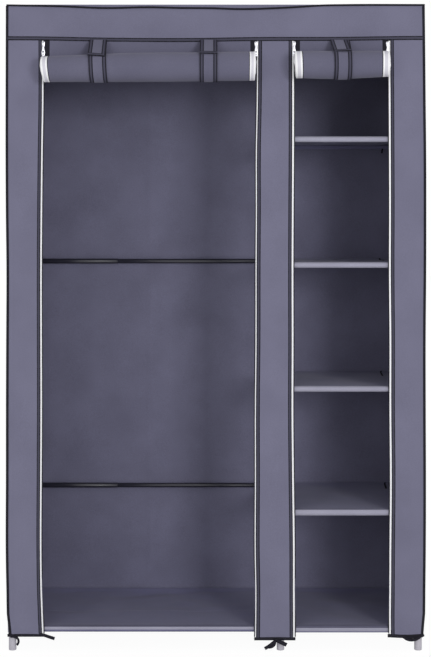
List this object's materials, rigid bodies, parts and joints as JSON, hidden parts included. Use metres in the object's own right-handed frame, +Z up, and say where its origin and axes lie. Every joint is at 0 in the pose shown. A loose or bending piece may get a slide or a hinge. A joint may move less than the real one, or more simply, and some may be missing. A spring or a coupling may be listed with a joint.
{
  "type": "portable fabric wardrobe",
  "caption": "Portable wardrobe with a steel tube frame, a zipped cloth cover, rolled up doors, a hanging bay and a bay of cloth shelves.",
  "frame": {"origin": "on the floor, under the middle of the box round the whole wardrobe, with its rolled doors", "axes": "+X to the right as seen from the front, +Y to the back, +Z up"},
  "size_m": [1.1, 0.528, 1.7],
  "materials": {
    "cover_cloth": "matte",
    "door_cloth": "matte",
    "shelf_cloth": "matte",
    "binding": "matte",
    "zip": "satin",
    "slider": "satin",
    "tube": "satin",
    "joint": "satin"
  },
  "bodies": {
    "frame_and_cover": {"foot_front_left": "joint", "upright_front_left": "tube", "foot_front_middle": "joint", "upright_front_middle": "tube", "foot_front_right": "joint", "upright_front_right": "tube", "foot_back_left": "joint", "upright_back_left": "tube", "foot_back_middle": "joint", "upright_back_middle": "tube", "foot_back_right": "joint", "upright_back_right": "tube", "bottom_frame": "tube", "top_frame": "tube", "clothes_rail": "tube", "upper_back_rod": "tube", "lower_back_rod": "tube", "upper_left_side_bar": "tube", "lower_left_side_bar": "tube", "shelf_frame_1": "tube", "shelf_frame_2": "tube", "shelf_frame_3": "tube", "shelf_frame_4": "tube", "cover_top": "cover_cloth", "cover_back": "cover_cloth", "cover_left_side": "cover_cloth", "cover_right_side": "cover_cloth", "cover_header": "cover_cloth", "left_strip": "cover_cloth", "centre_strip": "cover_cloth", "right_strip": "cover_cloth", "top_piping": "binding", "hem_tie_left": "binding", "hem_tie_middle": "binding", "hem_tie_right": "binding", "shelf_1": "shelf_cloth", "shelf_2": "shelf_cloth", "shelf_3": "shelf_cloth", "shelf_4": "shelf_cloth", "right_bottom_shelf": "shelf_cloth", "left_bottom_shelf": "shelf_cloth", "left_door_left_zip": "zip", "left_door_right_zip": "zip", "left_door_sheet": "door_cloth", "left_door_strap_1": "door_cloth", "left_door_strap_2": "door_cloth", "right_door_left_zip": "zip", "right_door_right_zip": "zip", "right_door_sheet": "door_cloth", "right_door_strap_1": "door_cloth"},
    "left_door": {"left_door_roll": "door_cloth"},
    "left_door_left_slider_body": {"left_door_left_slider": "slider"},
    "left_door_left_pull_tab": {"left_door_left_pull": "slider"},
    "left_door_right_slider_body": {"left_door_right_slider": "slider"},
    "left_door_right_pull_tab": {"left_door_right_pull": "slider"},
    "right_door": {"right_door_roll": "door_cloth"},
    "right_door_left_slider_body": {"right_door_left_slider": "slider"},
    "right_door_left_pull_tab": {"right_door_left_pull": "slider"},
    "right_door_right_slider_body": {"right_door_right_slider": "slider"},
    "right_door_right_pull_tab": {"right_door_right_pull": "slider"}
  },
  "joints": [
    {"name": "left_door_unroll", "type": "slide", "parent": "frame_and_cover", "child": "left_door", "axis": [0, 0, -1], "range_m": [0, 1.45], "deforming": ["left_door_sheet", "left_door_strap_1", "left_door_strap_2"]},
    {"name": "left_door_left_zip_slide", "type": "slide", "parent": "frame_and_cover", "child": "left_door_left_slider_body", "axis": [0, 0, -1], "range_m": [0, 1.45]},
    {"name": "left_door_left_pull_swing", "type": "hinge", "parent": "left_door_left_slider_body", "child": "left_door_left_pull_tab", "pos_m": [-0.4573, -0.1909, 1.6017], "axis": [-1, 0, 0], "range_deg": [0, 165]},
    {"name": "left_door_right_zip_slide", "type": "slide", "parent": "frame_and_cover", "child": "left_door_right_slider_body", "axis": [0, 0, -1], "range_m": [0, 1.45]},
    {"name": "left_door_right_pull_swing", "type": "hinge", "parent": "left_door_right_slider_body", "child": "left_door_right_pull_tab", "pos_m": [0.1078, -0.1909, 1.6017], "axis": [-1, 0, 0], "range_deg": [0, 165]},
    {"name": "right_door_unroll", "type": "slide", "parent": "frame_and_cover", "child": "right_door", "axis": [0, 0, -1], "range_m": [0, 1.45], "deforming": ["right_door_sheet", "right_door_strap_1"]},
    {"name": "right_door_left_zip_slide", "type": "slide", "parent": "frame_and_cover", "child": "right_door_left_slider_body", "axis": [0, 0, -1], "range_m": [0, 1.45]},
    {"name": "right_door_left_pull_swing", "type": "hinge", "parent": "right_door_left_slider_body", "child": "right_door_left_pull_tab", "pos_m": [0.2032, -0.1909, 1.6017], "axis": [-1, 0, 0], "range_deg": [0, 165]},
    {"name": "right_door_right_zip_slide", "type": "slide", "parent": "frame_and_cover", "child": "right_door_right_slider_body", "axis": [0, 0, -1], "range_m": [0, 1.45]},
    {"name": "right_door_right_pull_swing", "type": "hinge", "parent": "right_door_right_slider_body", "child": "right_door_right_pull_tab", "pos_m": [0.4573, -0.1909, 1.6017], "axis": [-1, 0, 0], "range_deg": [0, 165]}
  ],
  "couplings": [
    {"joint": "left_door_left_zip_slide", "follows": "left_door_unroll", "ratio": 1},
    {"joint": "left_door_right_zip_slide", "follows": "left_door_unroll", "ratio": 1},
    {"joint": "right_door_left_zip_slide", "follows": "right_door_unroll", "ratio": 1},
    {"joint": "right_door_right_zip_slide", "follows": "right_door_unroll", "ratio": 1}
  ]
}
